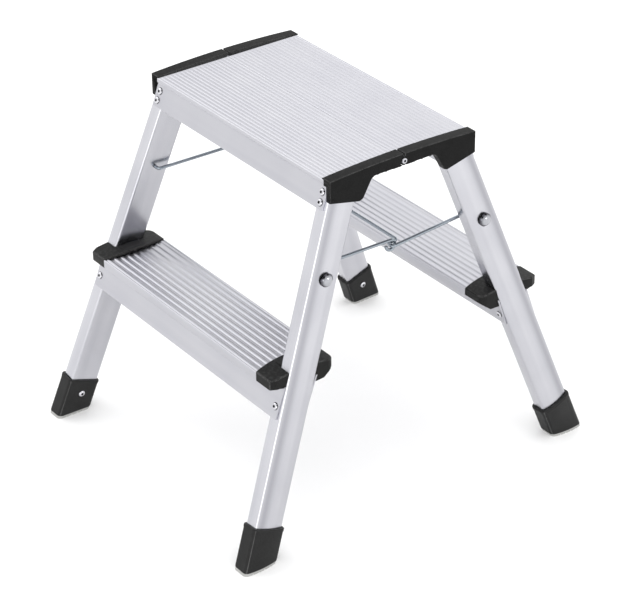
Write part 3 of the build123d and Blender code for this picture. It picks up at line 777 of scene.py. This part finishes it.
# A dark metal as painted shade inside the bores
bore_shade_metal = smooth_metal("Aluminium rivet, painted shade in its bore", "#2a2a2c", "#1c1c1e", rough=0.5)
hinge_line = (Vector(record["behaviour"]["joints"][0]["pos_m"]), Vector((1, 0, 0)))


def paint_bore_shade(piece, lines, reach):
    """Give the dark metal, as painted shade, to the faces whose corners all lie within reach of a bore's
    middle line.
    """
    piece.data.materials.append(bore_shade_metal)
    inside = set()
    for corner in piece.data.vertices:
        if any((corner.co - middle).cross(axis).length < reach for middle, axis in lines):
            inside.add(corner.index)
    dark = 0
    for face in piece.data.polygons:
        face.material_index = int(inside.issuperset(face.vertices))
        dark += face.material_index
    return dark


dark_faces = {}
for name, piece in finished.items():
    if name in bore_lines:
        dark_faces[name] = paint_bore_shade(piece, bore_lines[name], RIVET_BORE)
    elif name.endswith("hinge_rivet"):
        dark_faces[name] = paint_bore_shade(piece, [hinge_line], HINGE_BORE)
print("dark faces", dark_faces)

# %% [markdown]
# ## Studio
#
# The stool stands on a plain pale floor, as matt as paper, in a white studio. Satin metal shows little of
# its own: it mirrors the room. A picture of a real studio could light it, but plain lights are easier to
# move one at a time. The room is one even white sky, a little brighter than the floor. That alone gives the
# treads their light grey, and the faces that look at the floor a slightly darker one.

# %% Floor and sky
FLOOR_SIZE = 16.0
FLOOR_ROUGH = 0.9
SKY_STRENGTH = 1.35

bpy.ops.object.select_all(action="DESELECT")
bpy.ops.mesh.primitive_plane_add(size=FLOOR_SIZE)
floor = bpy.context.object
floor.name = "pale_floor"
floor_material, tree = new_material("Paper, pale, matt")
finish_material(tree, add(tree, "ShaderNodeBsdfPrincipled", {
    "Base Color": linear("#f8f8f8"), "Roughness": FLOOR_ROUGH,
}))
floor.data.materials.append(floor_material)

world = bpy.data.worlds.new("White studio")
bpy.context.scene.world = world
world.use_nodes = True
sky = world.node_tree.nodes["Background"]
sky.inputs["Color"].default_value = linear("#ffffff")
sky.inputs["Strength"].default_value = SKY_STRENGTH
print("floor", FLOOR_SIZE, "m, sky", SKY_STRENGTH)

# %% [markdown]
# ### Soft lights
#
# Each softbox is there for something that a part of the stool mirrors:
#
# - key_upper_left lights the aprons and the front shoulder of every rib.
# - nosing_strip is long and low, and draws the bright line along the front edges of the treads.
# - corner_strip stands at the right front, and draws the line down the rounded corner of the near leg.
# - fill_left_rear is what the treads mirror towards the camera, and it lifts them a little.
# - dome_spark is small and strong, for the white spark on the domed caps.
#
# The brightness is that of the light's surface, so a light can change its size and stay as bright as it
# looks in a mirror.

# %% Softboxes
STOOL_MIDDLE = (0, 0, 0.3)


def softbox(name, place, aim, width, height, brightness):
    """A rectangular studio light with a set surface brightness."""
    light = bpy.data.lights.new(name, "AREA")
    light.shape = "RECTANGLE"
    light.size, light.size_y = width, height
    light.energy = brightness * pi * width * height
    lamp = bpy.data.objects.new(name, light)
    lamp.location = place
    lamp.rotation_euler = (Vector(aim) - Vector(place)).to_track_quat("-Z", "Y").to_euler()
    lamp.visible_camera = False
    bpy.context.scene.collection.objects.link(lamp)
    return lamp


lamps = [
    softbox(
        "key_upper_left", place=(-2.1, -1.05, 2.3), aim=STOOL_MIDDLE,
        width=1.2, height=1.2, brightness=0.8),
    softbox(
        "nosing_strip", place=(-2.0, -1.55, 1.75), aim=(0, -0.16, 0.22),
        width=1.1, height=0.4, brightness=2.4),
    softbox(
        "corner_strip", place=(1.9, -2.5, 0.55), aim=STOOL_MIDDLE,
        width=1.8, height=1.1, brightness=2.4),
    softbox(
        "fill_left_rear", place=(-1.15, 1.35, 1.15), aim=(0.1, 0.1, 0.3),
        width=0.9, height=0.9, brightness=0.4),
    softbox(
        "dome_spark", place=(2.1, 0.65, 0.78), aim=(0.2, -0.1, 0.33),
        width=0.4, height=0.4, brightness=7.0),
]
print("lamps", {lamp.name: round(lamp.data.energy, 1) for lamp in lamps})

# %% [markdown]
# ### Black cards
#
# A polished dome in an all-white room looks like a flat white disc. Photographers hang black cards beside
# shiny things, so that each has something dark to mirror. One card hangs above the camera and one behind
# the stool. They are hidden from the camera, from shadows and from diffuse light: only mirrors see them.

# %% Cards
CARD_ROUGH = 0.95

card_material, tree = new_material("Card, black, matt")
finish_material(tree, add(tree, "ShaderNodeBsdfPrincipled", {
    "Base Color": linear("#0a0a0a"), "Roughness": CARD_ROUGH,
}))


def black_card(name, place, aim, width, height):
    """A matt black card that only reflections see."""
    bpy.ops.object.select_all(action="DESELECT")
    bpy.ops.mesh.primitive_plane_add(size=1)
    card = bpy.context.object
    card.name = name
    turn = (Vector(aim) - Vector(place)).to_track_quat("-Z", "Y").to_matrix().to_4x4()
    card.data.transform(Matrix.Translation(place) @ turn @ Matrix.Diagonal((width, height, 1, 1)))
    card.data.materials.append(card_material)
    card.visible_camera = False
    card.visible_diffuse = False
    card.visible_shadow = False
    return card


cards = [
    black_card("card_above_camera", place=(1.5, -1.6, 2.2), aim=STOOL_MIDDLE, width=2.2, height=1.6),
    black_card("card_behind", place=(1.0, 1.5, 2.4), aim=STOOL_MIDDLE, width=1.6, height=1.2),
]
print("cards", [card.name for card in cards])

# %% [markdown]
# ## Camera
#
# The camera was found by fitting one lens to edges and corners read from the photograph: it looks down at
# the stool from the front right with a long lens, as product pictures do. A look-at constraint would keep
# it level, but it leans over by less than a degree, so its frame is built from three directions.

# %% Camera
AZIMUTH = radians(53.843)
ELEVATION = radians(30.619)
ROLL = radians(-0.72)
TARGET = Vector((12.891, -5.372, 181.259)) * MM
DISTANCE = 2780.5 * MM
LENS = 130.96                # millimetres, on a sensor of the next width
SENSOR = 36
FAR_CLIP = 50

back = Vector((sin(AZIMUTH) * cos(ELEVATION), -cos(AZIMUTH) * cos(ELEVATION), sin(ELEVATION)))
level = Vector((cos(AZIMUTH), sin(AZIMUTH), 0))
upright = back.cross(level)
across = cos(ROLL) * level + sin(ROLL) * upright
up = cos(ROLL) * upright - sin(ROLL) * level
camera = bpy.data.objects.new("camera", bpy.data.cameras.new("camera"))
camera.data.lens = LENS
camera.data.sensor_width = SENSOR
camera.data.clip_end = FAR_CLIP
turn = Matrix((across, up, back)).transposed().to_4x4()
camera.matrix_world = Matrix.Translation(TARGET + DISTANCE * back) @ turn
bpy.context.scene.collection.objects.link(camera)
bpy.context.scene.camera = camera
bpy.context.scene.view_settings.view_transform = "Standard"
print("camera", [round(value, 3) for value in camera.matrix_world.translation])
